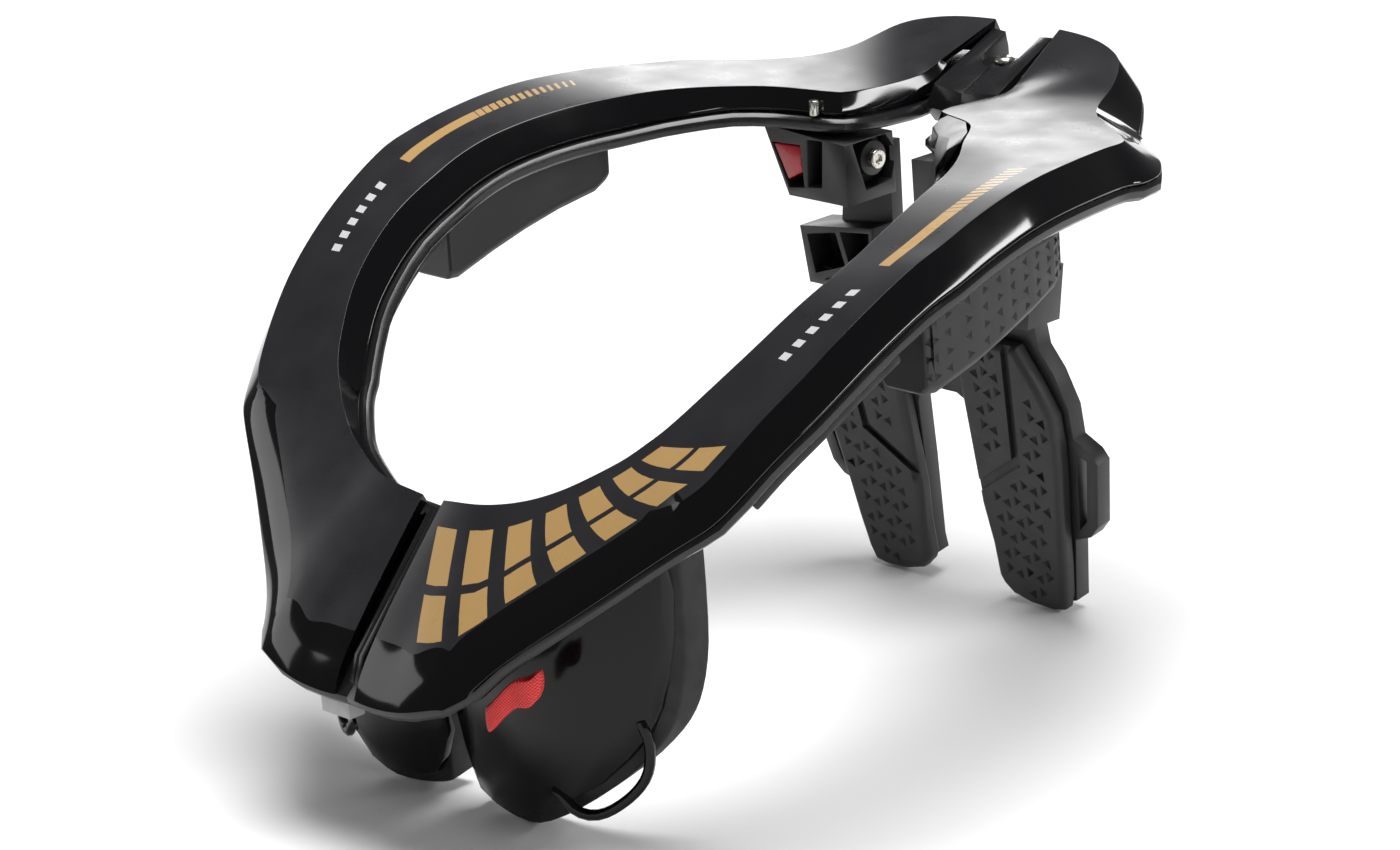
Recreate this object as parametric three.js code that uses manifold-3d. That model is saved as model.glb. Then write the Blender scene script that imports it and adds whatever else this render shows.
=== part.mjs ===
// Neck brace for motocross: a collar in two halves on chest pads and back legs
// Millimetres, +Z up, -Y is the wearer's front, +X is the wearer's left
// The origin is on the floor below the middle of the brace

import * as THREE from "three";
import { mergeVertices } from "three/addons/utils/BufferGeometryUtils.js";
import Module from "manifold-3d";

// Collar
const COLLAR_LENGTH = 316;
const COLLAR_HEIGHT = 184;
const NECK_HALF_WIDTH = 92;
const BAND_WIDTH = 28;
const INNER_BEVEL_RUN = 8;
const INNER_BEVEL_DROP = 9.5;
const SKIRT_RUN = 6.8;
const SKIRT_DROP = 12.2;
const SHELL_WALL = 2.5;
const CHASSIS_THICKNESS = 4.4;
const CHASSIS_FLANGE = 2.5;
const CHASSIS_INSET = 0.8;
const CHASSIS_EDGE = 1.2;
const SEAM_HALF_WIDTH = 4.7;
const END_PLATE = 2;
const FIT_GAP = 0.3;
const COVER_SEAT_GAP = 0.5;

// Hinge at the tail
const HINGE_SHARE_ALONG = 0.944;
const HINGE_LUG_RADIUS = 7;
const HINGE_PIN_RADIUS = 2;
const HINGE_HEAD_RADIUS = 3.4;
const HINGE_LUG_HEIGHT = 5.1;
const HINGE_RUN_CLEARANCE = 0.05;
const HINGE_BASE_DROP = 17;
const HINGE_BLOCK_FRONT = 12;
const HINGE_BLOCK_BACK = 1.5;
const HINGE_BLOCK_DROP = 10;
const HINGE_BLOCK_SHOULDER = 8;
const HINGE_BLOCK_CHAMFER = 3;
const HINGE_CROWN_FRONT_DROP = 6.5;
const HINGE_CROWN_BACK_DROP = 2.5;
const HINGE_BRIDGE_THICKNESS = 2;

// Chest pads
const CHEST_HALF_WIDTH = 80;
const CHEST_WRAP = 25;
const CHEST_SETBACK = 38.8;
const CHEST_PLATE_HEIGHT = 80;
const CHEST_PLATE_THICKNESS = 2.4;
const CHEST_RIM = 8;
const CHEST_RIM_DEPTH = 2;
const CHEST_FOAM_THICKNESS = 10;
const CHEST_LOOP_RADIUS = 1.7;

// Pads under the collar
const FRONT_PAD_THICKNESS = 4.6;
const FRONT_PAD_INSET = 4;
const SHOULDER_PAD_WIDTH = 22;
const SHOULDER_PAD_DEPTH = 25;

// Back legs
const BRACKET_HEIGHT = 20.5;
const BRACKET_WIDTH = 37;
const BRACKET_DEPTH = 22.3;
const LEG_SPACING = 30;
const LEG_TOP_CLEARANCE = 5.9;
const LEG_WIDTH = 40;
const LEG_LEAN = 9.5;
const LEG_PAD_THICKNESS = 5.5;
const LEG_SHELL_THICKNESS = 6;
const ARM_DEPTH = 15;
const ARM_DROP = 14;
const ARM_HEIGHT = 20;
const LEG_SET_FORWARD = 10.5;
const ARM_SET_FORWARD = 9.9;
const BOLT_RADIUS = 3.2;

// Small pieces
const PULL_LENGTH = 24;
const PULL_HEIGHT = 12;
const PULL_THICKNESS = 8;
const LATCH_WIDTH = 13;
const LATCH_HEIGHT = 5.5;
const STUD_RADIUS = 1.7;
const TONGUE_REACH = 13;
const TONGUE_THICKNESS = 6;
const TONGUE_UNDERCUT = 0.5;

// Stations along the left half of the collar, from the front seam to the tail
// across, along and up place the inner crease, as shares of the neck's half width and the collar's size
// band is the width of the top face in plan as a share of the band width, on a heading in degrees
// rise is how far the outer crease lies above the inner one, as a share of the band width
const COLLAR_COLUMNS = ["across", "along", "up", "band", "heading", "rise"];
const COLLAR_ROWS = [
  [0, 0.14, 0.529, 1.27, -90, -1.37],
  [0.217, 0.138, 0.539, 1.27, -90, -1.43],
  [0.37, 0.152, 0.551, 1.35, -84, -1.34],
  [0.503, 0.166, 0.574, 1.07, -85, -1.11],
  [0.603, 0.181, 0.6, 0.88, -70, -0.86],
  [0.703, 0.201, 0.631, 0.84, -50, -0.62],
  [0.761, 0.215, 0.656, 1.02, -24, -0.32],
  [0.813, 0.232, 0.682, 1.05, -22, -0.28],
  [0.899, 0.271, 0.743, 0.98, -19, -0.18],
  [0.952, 0.312, 0.793, 0.97, -17, -0.13],
  [0.988, 0.361, 0.843, 0.95, -12, -0.03],
  [1.002, 0.417, 0.881, 0.97, -3, 0.12],
  [1.0, 0.449, 0.902, 0.99, 1, 0.11],
  [0.982, 0.488, 0.922, 1.0, 6, 0.11],
  [0.932, 0.541, 0.939, 1.08, 11, 0.11],
  [0.872, 0.592, 0.947, 1.17, 14, 0.09],
  [0.783, 0.637, 0.952, 1.37, 26, 0.02],
  [0.679, 0.674, 0.954, 1.6, 31, -0.06],
  [0.582, 0.712, 0.949, 1.77, 27, -0.07],
  [0.478, 0.745, 0.943, 1.62, 27, -0.04],
  [0.337, 0.762, 0.939, 1.65, 30, 0],
  [0.245, 0.775, 0.936, 1.77, 37, 0.03],
  [0.217, 0.804, 0.932, 1.75, 41, 0.1],
  [0.217, 0.839, 0.928, 1.58, 43, 0.25],
  [0.219, 0.868, 0.926, 1.35, 47, 0.37],
  [0.215, 0.889, 0.93, 1.04, 67, 0.42],
  [0.201, 0.909, 0.945, 0.82, 101, 0.34],
];

// How the two bevels change along the collar, as shares of their named run and drop
// at is the station's share of the way from the seam to the tail
const BEVEL_COLUMNS = ["at", "innerRun", "innerDrop", "skirtRun", "skirtDrop"];
const BEVEL_ROWS = [
  [0, 0.4, 0.65, 0.85, 1.12],
  [0.12, 0.5, 0.7, 0.9, 1.08],
  [0.25, 1, 1, 1, 1],
  [0.6, 1, 1, 1, 1],
  [0.65, 0.7, 0.9, 1.05, 1],
  [0.69, 0.4, 0.8, 1.6, 1],
  [0.73, 0.4, 0.8, 2.4, 1],
  [0.77, 0.4, 0.8, 2.4, 1],
  [0.81, 0.4, 0.8, 2, 1],
  [0.85, 0.4, 0.8, 1.45, 1],
  [0.89, 0.4, 0.8, 1.15, 1],
  [1, 0.4, 0.8, 0.9, 1],
];
const STEPS_PER_ROW = 2;

// Chest pads: across and back as shares of the half width and the wrap
const CHEST_CURVE_COLUMNS = ["across", "back"];
const CHEST_CURVE_ROWS = [
  [0.05, 0.15],
  [0.22, 0.05],
  [0.4, 0],
  [0.52, 0.04],
  [0.65, 0.16],
  [0.77, 0.36],
  [0.9, 0.63],
  [1.04, 0.99],
];

// Lower edges of the chest plate and its foam, as shares of the plate's height at the outer end
const CHEST_EDGE_COLUMNS = ["across", "plate", "foam"];
const CHEST_EDGE_ROWS = [
  [0.045, 0.27, 0.065],
  [0.085, 0.15, 0.045],
  [0.13, 0.085, 0.025],
  [0.24, 0.055, 0.008],
  [0.385, 0.047, 0],
  [0.48, 0.075, 0.025],
  [0.62, 0.148, 0.105],
  [0.74, 0.23, 0.195],
  [0.84, 0.335, 0.29],
  [0.91, 0.43, 0.38],
  [0.945, 0.53, 0.45],
  [0.97, 0.65, 0.53],
  [0.99, 0.8, 0.65],
  [1.0, 0.98, 0.78],
];

// Route of the chest strap loop: across, and height as a share of the plate's height
const CHEST_LOOP_ROUTE = [
  [0.57, 0.2],
  [0.61, 0.17],
  [0.645, 0.13],
  [0.695, 0.108],
  [0.76, 0.122],
  [0.86, 0.205],
  [0.905, 0.285],
  [0.915, 0.4],
  [0.895, 0.49],
];

// Shoulder pads: along the collar, and the outer side's place across the band outside the neck's half width
// width and drop are shares of the pad's own width and depth
const SHOULDER_COLUMNS = ["along", "outer", "width", "drop"];
const SHOULDER_ROWS = [
  [0.435, 0.861, 0.92, 1.02],
  [0.45, 0.904, 0.98, 1.08],
  [0.5, 0.953, 1.05, 1.04],
  [0.54, 0.936, 1.1, 0.96],
  [0.58, 0.887, 1.15, 0.86],
  [0.62, 0.789, 1.2, 0.74],
  [0.638, 0.706, 1.1, 0.62],
];

// Tongue: collar rows it spans, how far it reaches into the neck opening and how far its tip drops
const TONGUE_COLUMNS = ["row", "reach", "level"];
const TONGUE_ROWS = [
  [17.0, 0.72, 0.9],
  [18.0, 0.86, 0.6],
  [19.2, 0.78, 0.35],
  [20.2, 0.47, 0.3],
];

// Pockets in the arm block, as shares of its width from its inner side and of its height
const ARM_POCKETS = [
  [[0.06, 0.6], [0.353, 0.45], [0.456, 0.975], [0.06, 1.05]],
  [[0.06, 0.1], [0.265, 0.1], [0.335, 0.375], [0.06, 0.5]],
  [[0.406, 0.4], [0.824, 0.175], [0.912, 0.825], [0.515, 0.95]],
  [[0.324, 0.1], [0.706, 0.1], [0.388, 0.315]],
];

// Leg pad outline, from its inner top corner down and round to its outer top corner
// across as a share of the leg's width from its inner edge, up as a share of the leg's length
const LEG_PAD_OUTLINE = [
  [0.0, 0.985],
  [0.0, 0.36],
  [0.04, 0.215],
  [0.045, 0.09],
  [0.08, 0.06],
  [0.175, 0.025],
  [0.37, 0.005],
  [0.59, 0],
  [0.725, 0.01],
  [0.775, 0.065],
  [0.825, 0.18],
  [0.875, 0.335],
  [0.957, 0.53],
  [0.99, 0.64],
  [0.995, 0.75],
  [0.885, 0.85],
  [0.765, 0.935],
  [0.7, 0.985],
];

// Leg shell outline, from the foot's inner corner up round the arch, then down the outer side with its loop
const LEG_SHELL_INNER = [
  [0.1, 0.066],
  [0.108, 0.115],
  [0.015, 0.435],
  [-0.035, 0.655],
  [-0.085, 0.705],
  [-0.19, 0.73],
];
const LEG_SHELL_OUTER = [
  [0.84, 1.08],
  [0.85, 0.965],
  [0.965, 0.885],
  [1.06, 0.765],
  [1.055, 0.655],
  [1.22, 0.615],
  [1.275, 0.58],
  [1.155, 0.34],
  [1.055, 0.295],
  [0.88, 0.27],
  [0.765, 0.03],
  [0.62, 0.012],
  [0.4, 0.014],
  [0.2, 0.038],
];
const LEG_LOOP_OPENING = [
  [0.945, 0.312],
  [1.045, 0.352],
  [1.16, 0.585],
  [1.062, 0.603],
];

// Plain helpers for tables, curves and solids
function named(columns, rows) {
  return rows.map((row) => Object.fromEntries(columns.map((column, i) => [column, row[i]])));
}

function valueAt(rows, key, column, x) {
  const last = rows.length - 1;
  if (x <= rows[0][key]) return rows[0][column];
  if (x >= rows[last][key]) return rows[last][column];
  const i = rows.findIndex((row) => row[key] >= x);
  const share = (x - rows[i - 1][key]) / (rows[i][key] - rows[i - 1][key]);
  return THREE.MathUtils.lerp(rows[i - 1][column], rows[i][column], share);
}

function along(share) {
  return COLLAR_LENGTH * (share - 0.5);
}

function moved(point, ...steps) {
  const result = point.clone();
  for (const [direction, length] of steps) result.addScaledVector(direction, length);
  return result;
}

function vec(x, y, z) {
  return new THREE.Vector3(x, y, z);
}

const UP = vec(0, 0, 1);

// A closed body from rings of equally many points; each end is closed by pairing the ring's two halves
function loft(rings) {
  const size = rings[0].length;
  const positions = rings.flatMap((ring) => ring.flatMap((p) => [p.x, p.y, p.z]));
  const faces = [];
  for (let k = 0; k + 1 < rings.length; k += 1) {
    for (let i = 0; i < size; i += 1) {
      const a = k * size + i;
      const b = k * size + ((i + 1) % size);
      faces.push(a, b, b + size, a, b + size, a + size);
    }
  }
  const end = (rings.length - 1) * size;
  for (let i = 0; i < size / 2 - 1; i += 1) {
    const quad = [i, i + 1, size - 2 - i, size - 1 - i];
    const [a, b, c, d] = quad;
    faces.push(b, a, d);
    if (c !== b) faces.push(b, d, c);
    faces.push(end + a, end + b, end + d);
    if (c !== b) faces.push(end + b, end + c, end + d);
  }
  return facingOut(indexed(positions, faces));
}

function indexed(positions, faces) {
  const geometry = new THREE.BufferGeometry();
  geometry.setAttribute("position", new THREE.Float32BufferAttribute(positions, 3));
  geometry.setIndex(faces);
  return geometry;
}

function turnedFaces(geometry) {
  const index = geometry.getIndex().array;
  const faces = [];
  for (let i = 0; i < index.length; i += 3) faces.push(index[i], index[i + 2], index[i + 1]);
  return indexed([...geometry.getAttribute("position").array], faces);
}

function signedVolume(geometry) {
  const p = geometry.getAttribute("position");
  const index = geometry.getIndex().array;
  const [a, b, c] = [vec(0, 0, 0), vec(0, 0, 0), vec(0, 0, 0)];
  let total = 0;
  for (let i = 0; i < index.length; i += 3) {
    a.fromBufferAttribute(p, index[i]);
    b.fromBufferAttribute(p, index[i + 1]);
    c.fromBufferAttribute(p, index[i + 2]);
    total += a.dot(b.cross(c)) / 6;
  }
  return total;
}

function facingOut(geometry) {
  return signedVolume(geometry) < 0 ? turnedFaces(geometry) : geometry;
}

// The other side of the brace: x changes sign and the faces are turned back outward
function mirrored(geometry) {
  const merged = welded(geometry);
  merged.scale(-1, 1, 1);
  return facingOut(merged);
}

function welded(geometry) {
  const plain = geometry.clone();
  plain.deleteAttribute("normal");
  plain.deleteAttribute("uv");
  return mergeVertices(plain, 1e-4);
}

// Joining and cutting closed bodies
const wasm = await Module();
wasm.setup();

function solid(geometry) {
  const merged = welded(geometry);
  const vertProperties = new Float32Array(merged.getAttribute("position").array);
  const triVerts = new Uint32Array(merged.getIndex().array);
  return new wasm.Manifold(new wasm.Mesh({ numProp: 3, vertProperties, triVerts }));
}

function surface(body) {
  const mesh = body.getMesh();
  return indexed([...mesh.vertProperties], [...mesh.triVerts]);
}

// A flat outline in a named frame, given a depth along the frame's third axis
function plate(outline, depth, frame, hole) {
  const shape = new THREE.Shape(outline.map(([u, v]) => new THREE.Vector2(u, v)));
  if (hole) shape.holes.push(new THREE.Path(hole.map(([u, v]) => new THREE.Vector2(u, v))));
  const geometry = new THREE.ExtrudeGeometry(shape, { depth, bevelEnabled: false });
  return geometry.applyMatrix4(frame);
}

// A frame looking along +Y: u is across and v is up
function facingBack(y) {
  return new THREE.Matrix4().makeBasis(vec(1, 0, 0), UP, vec(0, -1, 0)).setPosition(0, y, 0);
}

// A frame looking along +X: u runs to the back and v is up
function facingLeft(x) {
  return new THREE.Matrix4().makeBasis(vec(0, 1, 0), UP, vec(1, 0, 0)).setPosition(x, 0, 0);
}

function upright(radius, bottom, top, x, y, sides = 32) {
  const geometry = new THREE.CylinderGeometry(radius, radius, top - bottom, sides);
  geometry.rotateX(Math.PI / 2);
  return geometry.translate(x, y, (bottom + top) / 2);
}

function sideways(radius, left, right, y, z, sides = 24) {
  const geometry = new THREE.CylinderGeometry(radius, radius, right - left, sides);
  geometry.rotateZ(Math.PI / 2);
  return geometry.translate((left + right) / 2, y, z);
}

function block(x0, x1, y0, y1, z0, z1) {
  const geometry = new THREE.BoxGeometry(x1 - x0, y1 - y0, z1 - z0);
  return geometry.translate((x0 + x1) / 2, (y0 + y1) / 2, (z0 + z1) / 2);
}

// Collar stations: both creases, their tangents and the two bevels
const collarRows = named(COLLAR_COLUMNS, COLLAR_ROWS);
const bevelRows = named(BEVEL_COLUMNS, BEVEL_ROWS);

function innerPoint(row) {
  return vec(row.across * NECK_HALF_WIDTH, along(row.along), row.up * COLLAR_HEIGHT);
}

function outerPoint(row) {
  const heading = THREE.MathUtils.degToRad(row.heading);
  const plan = vec(Math.cos(heading), Math.sin(heading), 0);
  return moved(innerPoint(row), [plan, row.band * BAND_WIDTH], [UP, row.rise * BAND_WIDTH]);
}

const innerCrease = new THREE.CatmullRomCurve3(collarRows.map(innerPoint), false, "catmullrom", 0.5);
const outerCrease = new THREE.CatmullRomCurve3(collarRows.map(outerPoint), false, "catmullrom", 0.5);

function normalOfFace(first, second, side) {
  const normal = first.clone().cross(second).normalize();
  return normal.dot(side) < 0 ? normal.negate() : normal;
}

function station(at, startX) {
  const inner = innerCrease.getPoint(at);
  const outer = outerCrease.getPoint(at);
  inner.x = Math.max(inner.x, startX);
  outer.x = Math.max(outer.x, startX);
  const innerWay = innerCrease.getTangent(at);
  const outerWay = outerCrease.getTangent(at);
  const toNeck = vec(-innerWay.y, innerWay.x, 0).normalize();
  const outward = vec(outerWay.y, -outerWay.x, 0).normalize();
  const innerRun = INNER_BEVEL_RUN * valueAt(bevelRows, "at", "innerRun", at);
  const innerDrop = INNER_BEVEL_DROP * valueAt(bevelRows, "at", "innerDrop", at);
  const skirtRun = SKIRT_RUN * valueAt(bevelRows, "at", "skirtRun", at);
  const skirtDrop = SKIRT_DROP * valueAt(bevelRows, "at", "skirtDrop", at);
  const lip = moved(inner, [toNeck, innerRun], [UP, -innerDrop]);
  const hem = moved(outer, [outward, skirtRun], [UP, -skirtDrop]);
  return { inner, outer, lip, hem, innerWay, outerWay, toNeck, outward, innerRun, innerDrop };
}

// The cover's wall: the outer line lip, inner crease, outer crease, hem, and the same line one wall inside
function coverRing(s) {
  const across = s.outer.clone().sub(s.inner);
  const middleWay = s.innerWay.clone().add(s.outerWay);
  const down = normalOfFace(across, middleWay, vec(0, 0, -1));
  const intoSkirt = normalOfFace(s.hem.clone().sub(s.outer), s.outerWay, s.outward.clone().negate());
  const intoLip = normalOfFace(s.lip.clone().sub(s.inner), s.innerWay, s.toNeck.clone().negate());
  const outerShare = SHELL_WALL / (1 + down.dot(intoSkirt));
  const innerShare = SHELL_WALL / (1 + down.dot(intoLip));
  const outerInside = moved(s.outer, [down, outerShare], [intoSkirt, outerShare]);
  const innerInside = moved(s.inner, [down, innerShare], [intoLip, innerShare]);
  const toLip = s.lip.clone().sub(s.hem).normalize();
  const hemInside = moved(s.hem, [toLip, SHELL_WALL / Math.max(toLip.dot(intoSkirt), 0.3)]);
  const lipInside = moved(s.lip, [toLip, SHELL_WALL / Math.min(toLip.dot(intoLip), -0.3)]);
  return [s.lip, s.inner, s.outer, s.hem, hemInside, outerInside, innerInside, lipInside];
}

// A strip under the cover, from the hem to the lip
function stripRing(s, flange, inset, gap, thickness, edge) {
  const toLip = s.lip.clone().sub(s.hem).normalize();
  const way = s.innerWay.clone().add(s.outerWay);
  const down = normalOfFace(toLip, way, vec(0, 0, -1));
  const lip = moved(s.lip, [toLip, flange], [down, gap]);
  const hem = moved(s.hem, [toLip, inset], [down, gap]);
  return [
    moved(hem, [toLip, edge]),
    moved(lip, [toLip, -edge]),
    moved(lip, [down, edge]),
    moved(lip, [down, thickness - edge]),
    moved(lip, [down, thickness], [toLip, -edge]),
    moved(hem, [down, thickness], [toLip, edge]),
    moved(hem, [down, thickness - edge]),
    moved(hem, [down, edge]),
  ];
}

const ROW_COUNT = collarRows.length - 1;

function stationsBetween(first, last, startX) {
  const count = Math.round((last - first) * STEPS_PER_ROW);
  const shares = Array.from({ length: count + 1 }, (_, i) => first + (last - first) * (i / count));
  return shares.map((row) => station(row / ROW_COUNT, startX));
}

const coverGeometry = loft(stationsBetween(0, ROW_COUNT, SEAM_HALF_WIDTH).map(coverRing));

function chassisRing(s) {
  return stripRing(s, CHASSIS_FLANGE, CHASSIS_INSET, COVER_SEAT_GAP, CHASSIS_THICKNESS, CHASSIS_EDGE);
}

const chassisRings = stationsBetween(0, ROW_COUNT, FIT_GAP / 2).map(chassisRing);

// Height of the chassis underside above a point in plan
function undersideAt(x, y) {
  const point = vec(x, y, 0);
  const found = [];
  for (let k = 0; k + 1 < chassisRings.length; k += 1) {
    const corners = [chassisRings[k][4], chassisRings[k][5], chassisRings[k + 1][5], chassisRings[k + 1][4]];
    for (const pick of [[0, 1, 2], [0, 2, 3]]) {
      const flat = pick.map((i) => corners[i].clone().setZ(0));
      const weights = THREE.Triangle.getBarycoord(point, ...flat, vec(0, 0, 0));
      if (!weights || Math.min(weights.x, weights.y, weights.z) < -1e-6) continue;
      const [a, b, c] = pick.map((i) => corners[i].z);
      found.push(a * weights.x + b * weights.y + c * weights.z);
    }
  }
  return found.length > 0 ? Math.min(...found) : NaN;
}

// Heights for a four-cornered top that stays one gap below the chassis everywhere
function seatUnder(corners, gap) {
  const heights = corners.map(([x, y]) => undersideAt(x, y));
  const known = heights.filter((z) => !Number.isNaN(z));
  const lowest = Math.min(...known);
  const filled = heights.map((z) => (Number.isNaN(z) ? lowest : z));
  const grid = [0, 0.25, 0.5, 0.75, 1];
  let excess = 0;
  for (const u of grid) {
    for (const v of grid) {
      const weights = [(1 - u) * (1 - v), u * (1 - v), u * v, (1 - u) * v];
      const x = weights.reduce((sum, w, i) => sum + w * corners[i][0], 0);
      const y = weights.reduce((sum, w, i) => sum + w * corners[i][1], 0);
      const z = weights.reduce((sum, w, i) => sum + w * filled[i], 0);
      const roof = undersideAt(x, y);
      if (!Number.isNaN(roof)) excess = Math.max(excess, z - roof);
    }
  }
  return filled.map((z) => z - excess - gap);
}

// Thin end plate at the front seam, standing on the chassis inside the cover's line
function endPlate() {
  const ring = coverRing(station(0, FIT_GAP / 2));
  const [, , , , hem, outer, inner, lip] = ring;
  const sunk = COVER_SEAT_GAP + CHASSIS_THICKNESS / 2;
  const outline = [lip, inner, outer, hem].map((p) => [p.y, p.z]);
  outline.push([hem.y, hem.z - sunk], [lip.y, lip.z - sunk]);
  return plate(outline, END_PLATE, facingLeft(FIT_GAP / 2));
}

// Hinge block between the two covers at the tail
const hingeY = along(HINGE_SHARE_ALONG);
const tail = station(1, 0);
const hingeBase = tail.inner.z - HINGE_BASE_DROP;
const lugLevels = [0, 1, 2, 3].map((i) => hingeBase + i * (HINGE_LUG_HEIGHT + FIT_GAP));

function hingeBlock() {
  const back = tail.outer.y - HINGE_BLOCK_BACK;
  const front = tail.inner.y - HINGE_BLOCK_FRONT;
  const frontX = tail.lip.x - 2 * FIT_GAP;
  const backX = Math.min(tail.outer.x, tail.hem.x) - CHASSIS_INSET;
  const low = tail.lip.z - HINGE_BLOCK_DROP;
  const waist = low + HINGE_BLOCK_DROP / 2;
  const shoulder = tail.outer.z - HINGE_BLOCK_SHOULDER;
  const frontCrown = tail.inner.z - HINGE_CROWN_FRONT_DROP;
  const backCrown = tail.outer.z - HINGE_CROWN_BACK_DROP;
  const inner = FIT_GAP / 2;
  const lower = [
    vec(inner, front + HINGE_BLOCK_CHAMFER, low),
    vec(frontX - 1, front + HINGE_BLOCK_CHAMFER, low),
    vec(backX, back, low),
    vec(inner, back, low),
  ];
  const middle = [
    vec(inner, front, waist),
    vec(frontX, front, waist),
    vec(backX, back, shoulder),
    vec(inner, back, shoulder),
  ];
  const upper = [
    vec(inner, front + HINGE_BLOCK_CHAMFER - 1, frontCrown),
    vec(frontX - 2 * FIT_GAP, front + HINGE_BLOCK_CHAMFER + 1, frontCrown + 1),
    vec(backX - FIT_GAP, back - 1, backCrown),
    vec(inner, back - 1, backCrown - 1),
  ];
  const reach = HINGE_LUG_RADIUS + 2 * FIT_GAP;
  const body = solid(loft([lower, middle, upper]));
  const well = solid(upright(reach, low - 5, tail.outer.z + 5, 0, hingeY));
  const notch = solid(block(-1, reach, hingeY, back + 5, low - 5, tail.outer.z + 5));
  const lip = tail.lip;
  const bridgeTop = lip.z - 1;
  const bridgeX = [reach + 1, lip.x + 4];
  const bridgeY = [lip.y + 1.5, lip.y + 7];
  const bridge = solid(block(...bridgeX, ...bridgeY, bridgeTop - HINGE_BRIDGE_THICKNESS, bridgeTop));
  return body.subtract(well).subtract(notch).add(bridge);
}

function lug(side, level) {
  const bottom = lugLevels[level];
  const top = bottom + HINGE_LUG_HEIGHT;
  const disc = solid(upright(HINGE_LUG_RADIUS, bottom, top, 0, hingeY));
  const reach = HINGE_LUG_RADIUS + 2;
  const neckX = [0, side * reach].sort((a, b) => a - b);
  const neck = block(...neckX, hingeY - HINGE_LUG_RADIUS + 1, hingeY + HINGE_LUG_RADIUS - 2.5, bottom, top);
  const hole = solid(upright(HINGE_PIN_RADIUS + HINGE_RUN_CLEARANCE, bottom - 1, top + 1, 0, hingeY, 48));
  return disc.add(solid(neck)).subtract(hole);
}

// The chassis of each half with its end plate, its share of the hinge block and its lugs
const chassisBody = solid(loft(chassisRings)).add(solid(endPlate())).add(hingeBlock());
const chassisLeftGeometry = surface(chassisBody.add(lug(1, 1)));
const chassisMirror = solid(mirrored(surface(chassisBody)));
const chassisRightGeometry = surface(chassisMirror.add(lug(-1, 0)).add(lug(-1, 2)));

function hingePin() {
  const bottom = lugLevels[0] + FIT_GAP;
  const top = lugLevels[2] + HINGE_LUG_HEIGHT + FIT_GAP;
  const profile = [
    [0, bottom],
    [HINGE_PIN_RADIUS, bottom],
    [HINGE_PIN_RADIUS, top],
    [HINGE_HEAD_RADIUS, top],
    [HINGE_HEAD_RADIUS, top + 1],
    [HINGE_HEAD_RADIUS - 1, top + 2],
    [0, top + 2],
  ].map(([r, z]) => new THREE.Vector2(r, z));
  return new THREE.LatheGeometry(profile, 48).rotateX(Math.PI / 2).translate(0, hingeY, 0);
}

// Chest plate and foam: sections across the pad, from the middle to the side
const chestCurve = named(CHEST_CURVE_COLUMNS, CHEST_CURVE_ROWS);
const chestEdges = named(CHEST_EDGE_COLUMNS, CHEST_EDGE_ROWS);
const chestFront = along(0) + CHEST_SETBACK;

function chestFace(across) {
  return chestFront + CHEST_WRAP * valueAt(chestCurve, "across", "back", across);
}

function chestPlateTop(x, y) {
  const roof = undersideAt(x, y);
  return roof - FIT_GAP - 0.3;
}

function chestPlateRing(row) {
  const x = row.across * CHEST_HALF_WIDTH;
  const face = chestFace(row.across);
  const bottom = row.plate * CHEST_PLATE_HEIGHT;
  const back = face + CHEST_PLATE_THICKNESS;
  const top = chestPlateTop(x, face);
  const rim = Math.min(bottom + CHEST_RIM, top - 2);
  return [
    vec(x, face + CHEST_RIM_DEPTH, bottom),
    vec(x, face, rim),
    vec(x, face, top),
    vec(x, back, Math.max(top, chestPlateTop(x, back) - FIT_GAP)),
    vec(x, back, rim),
    vec(x, back + CHEST_RIM_DEPTH, bottom),
  ];
}

const chestLoopRoute = CHEST_LOOP_ROUTE.map(([across, up]) => {
  const y = chestFace(across) + CHEST_PLATE_THICKNESS - CHEST_LOOP_RADIUS / 2;
  return vec(across * CHEST_HALF_WIDTH, y, up * CHEST_PLATE_HEIGHT);
});

function circleShape(radius, sides) {
  const points = Array.from({ length: sides }, (_, i) => {
    const angle = (2 * Math.PI * i) / sides;
    return new THREE.Vector2(radius * Math.cos(angle), radius * Math.sin(angle));
  });
  return new THREE.Shape(points);
}

function chestPlate() {
  const body = solid(loft(chestEdges.map(chestPlateRing)));
  const extrudePath = new THREE.CatmullRomCurve3(chestLoopRoute);
  const options = { extrudePath, steps: 20, bevelEnabled: false };
  const loop = new THREE.ExtrudeGeometry(circleShape(CHEST_LOOP_RADIUS, 8), options);
  return surface(body.add(solid(loop)));
}

function chestFoamRing(row) {
  const x = row.across * CHEST_HALF_WIDTH * 1.02;
  const face = chestFace(row.across * 1.02) + CHEST_PLATE_THICKNESS + CHEST_RIM_DEPTH + 2 * FIT_GAP;
  const bottom = row.foam * CHEST_PLATE_HEIGHT;
  const top = chestPlateTop(row.across * CHEST_HALF_WIDTH, chestFace(row.across)) - 5;
  return [
    vec(x, face, bottom),
    vec(x, face, top),
    vec(x, face + CHEST_FOAM_THICKNESS, top),
    vec(x, face + CHEST_FOAM_THICKNESS, bottom + 2),
  ];
}

// Pads under the collar beside the neck
function frontPad() {
  const rings = stationsBetween(7.5, 10.5, 0).map((s) => {
    const gap = COVER_SEAT_GAP + CHASSIS_THICKNESS + FIT_GAP;
    return stripRing(s, -FRONT_PAD_INSET / 2, FRONT_PAD_INSET, gap, FRONT_PAD_THICKNESS, CHASSIS_EDGE);
  });
  return loft(rings);
}

const shoulderRows = named(SHOULDER_COLUMNS, SHOULDER_ROWS);

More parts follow.
